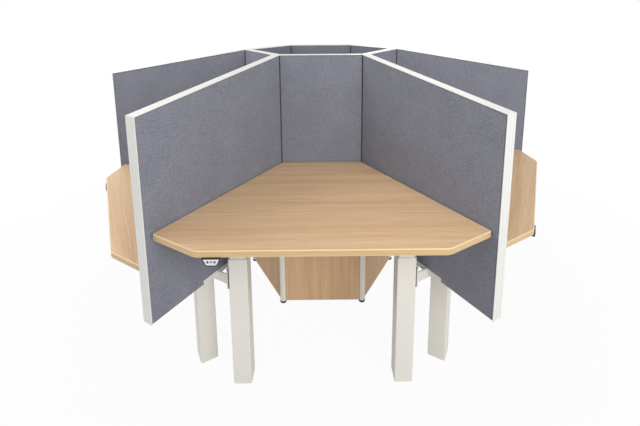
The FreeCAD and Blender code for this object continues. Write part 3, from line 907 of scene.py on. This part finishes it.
# %% [markdown]
# ## Pieces kept as they are
# The boards inside the panels, the motors and the nut tubes are right as they stand. They show
# as thin lines or not at all, so they keep their meshes and only get a finish.

# %% Finishes for kept pieces
kept = {"core_boards": board_grey_and_seam_shade, "screen_boards": board_grey_and_seam_shade, "nut_tubes": zinc}
kept.update({f"lift_drive_{number}": zinc for number in stations})
for node, material in kept.items():
    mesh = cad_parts[node].data
    mesh.materials.clear()
    mesh.materials.append(material)
print(len(kept), "nodes keep their meshes")

# %% [markdown]
# ## Floor, light and backdrop
# The pod is shown as in a catalogue: on white, with a soft key light from the front right, a high
# light from the left, a faint fill from the front left and two lower lights behind, so that
# its far side isn't dark. The floor and the world are white where the
# camera or a reflection looks at them. Near the pod the floor keeps a little of its own shading,
# so that the pod casts a soft shadow and stands on something, and away from it the floor
# turns to pure white.

# %% Stage
scene = bpy.context.scene
scene.view_settings.view_transform = "Standard"
ambient = 0.62
floor_glow = 0.95
shadow_reach = (1.3, 2.8)
floor_size, floor_drop, floor_grey = 120.0, 0.0005, 0.6


def seen_directly(tree):
    """1 for camera, glossy and transmission rays, and 0 for light that falls on the pod."""
    rays = add(tree, "LightPath").outputs
    direct = add(tree, "Math", {0: rays["Is Camera Ray"], 1: rays["Is Glossy Ray"]},
                 operation="MAXIMUM")
    return add(tree, "Math", {0: direct.outputs[0], 1: rays["Is Transmission Ray"]},
               operation="MAXIMUM").outputs[0]


world = bpy.data.worlds.new("white_surround")
world.use_nodes = True
scene.world = world
sky = world.node_tree.nodes["Background"]
sky.inputs["Color"].default_value = (1, 1, 1, 1)
level = add(world.node_tree, "MapRange", {"Value": seen_directly(world.node_tree),
                                          "To Min": ambient})
world.node_tree.links.new(level.outputs[0], sky.inputs["Strength"])

floor_paint = bpy.data.materials.new("white_floor")
floor_paint.use_nodes = True
tree = floor_paint.node_tree
tree.nodes.clear()
matt = add(tree, "BsdfDiffuse", {"Color": (floor_grey, floor_grey, floor_grey, 1)})
glow = add(tree, "Emission", {"Color": (1, 1, 1, 1), "Strength": 1.0})
away = add(tree, "VectorMath", {0: add(tree, "TexCoord").outputs["Object"]}, operation="LENGTH")
white = add(tree, "MapRange", {"Value": away.outputs["Value"], "From Min": shadow_reach[0],
                               "From Max": shadow_reach[1], "To Min": floor_glow, "To Max": 1.0})
share = add(tree, "Math", {0: seen_directly(tree), 1: white.outputs[0]}, operation="MULTIPLY")
both = add(tree, "MixShader", {0: share.outputs[0], 1: matt.outputs[0], 2: glow.outputs[0]})
add(tree, "OutputMaterial", {"Surface": both.outputs[0]})
bm = bmesh.new()
bmesh.ops.create_grid(bm, x_segments=1, y_segments=1, size=floor_size / 2)
mesh = bpy.data.meshes.new("floor")
bm.to_mesh(mesh)
bm.free()
mesh.materials.append(floor_paint)
floor = bpy.data.objects.new("floor", mesh)
floor.location.z = -floor_drop
scene.collection.objects.link(floor)

# Place, width in metres and power in watts
lamps = {"key": ((1.6, -3.7, 2.4), 2.0, 78.0),
         "left": ((-2.6, -0.6, 2.9), 2.0, 34.0),
         "front_left": ((-3.0, -3.2, 2.6), 2.4, 8.0),
         "back": ((1.6, 3.6, 1.9), 2.4, 56.0),
         "back_left": ((-3.0, 2.8, 1.9), 2.4, 28.0)}
aim = Vector((0.0, -0.3, 0.7))
for name, (place, size, power) in lamps.items():
    light = bpy.data.lights.new(name, "AREA")
    light.shape = "SQUARE"
    light.size = size
    light.energy = power
    lamp = bpy.data.objects.new(name, light)
    lamp.location = place
    lamp.rotation_euler = (aim - Vector(place)).to_track_quat("-Z", "Y").to_euler()
    scene.collection.objects.link(lamp)
print(len(lamps), "lamps")

# %% [markdown]
# ## Camera
# The photograph was taken from standing height with a wide lens held almost level, and the
# frame was moved down instead of tilting the camera, so uprights stay upright there. Lens shift
# does that in Blender, but a shift this large would push the pod out of the frame when the
# camera goes round it. So this camera shifts by a little over half as much and tilts down for
# the rest. Its place, lens and tilt come from fitting the pod's known corners to where they lie
# in the picture.

# %% Camera
image_width, image_height = 640, 426
focal_pixels = 381.643
shift_pixels = 130
centre_pixel = (323.256, image_height / 2 - shift_pixels)
camera_place = (-0.000876, -2.352918, 1.590817)
pitch, yaw, roll = 0.162, 0.006, 0.006
sensor = 36.0

level_right = Vector((cos(yaw), -sin(yaw), 0))
level_up = Vector((sin(pitch) * sin(yaw), sin(pitch) * cos(yaw), cos(pitch)))
forward = Vector((cos(pitch) * sin(yaw), cos(pitch) * cos(yaw), -sin(pitch)))
right = cos(roll) * level_right - sin(roll) * level_up
up = sin(roll) * level_right + cos(roll) * level_up
lens = bpy.data.cameras.new("photo_camera")
lens.sensor_width = sensor
lens.lens = focal_pixels * sensor / image_width
lens.shift_x = (image_width / 2 - centre_pixel[0]) / image_width
lens.shift_y = (centre_pixel[1] - image_height / 2) / image_width
camera = bpy.data.objects.new("photo_camera", lens)
turn = Matrix((right, up, -forward)).transposed().to_4x4()
camera.matrix_world = Matrix.Translation(camera_place) @ turn
scene.collection.objects.link(camera)
scene.camera = camera
print("lens", round(lens.lens, 2), "mm, shift", round(lens.shift_y, 4))

# %% [markdown]
# ## Done

# %% Done
print("scene built")
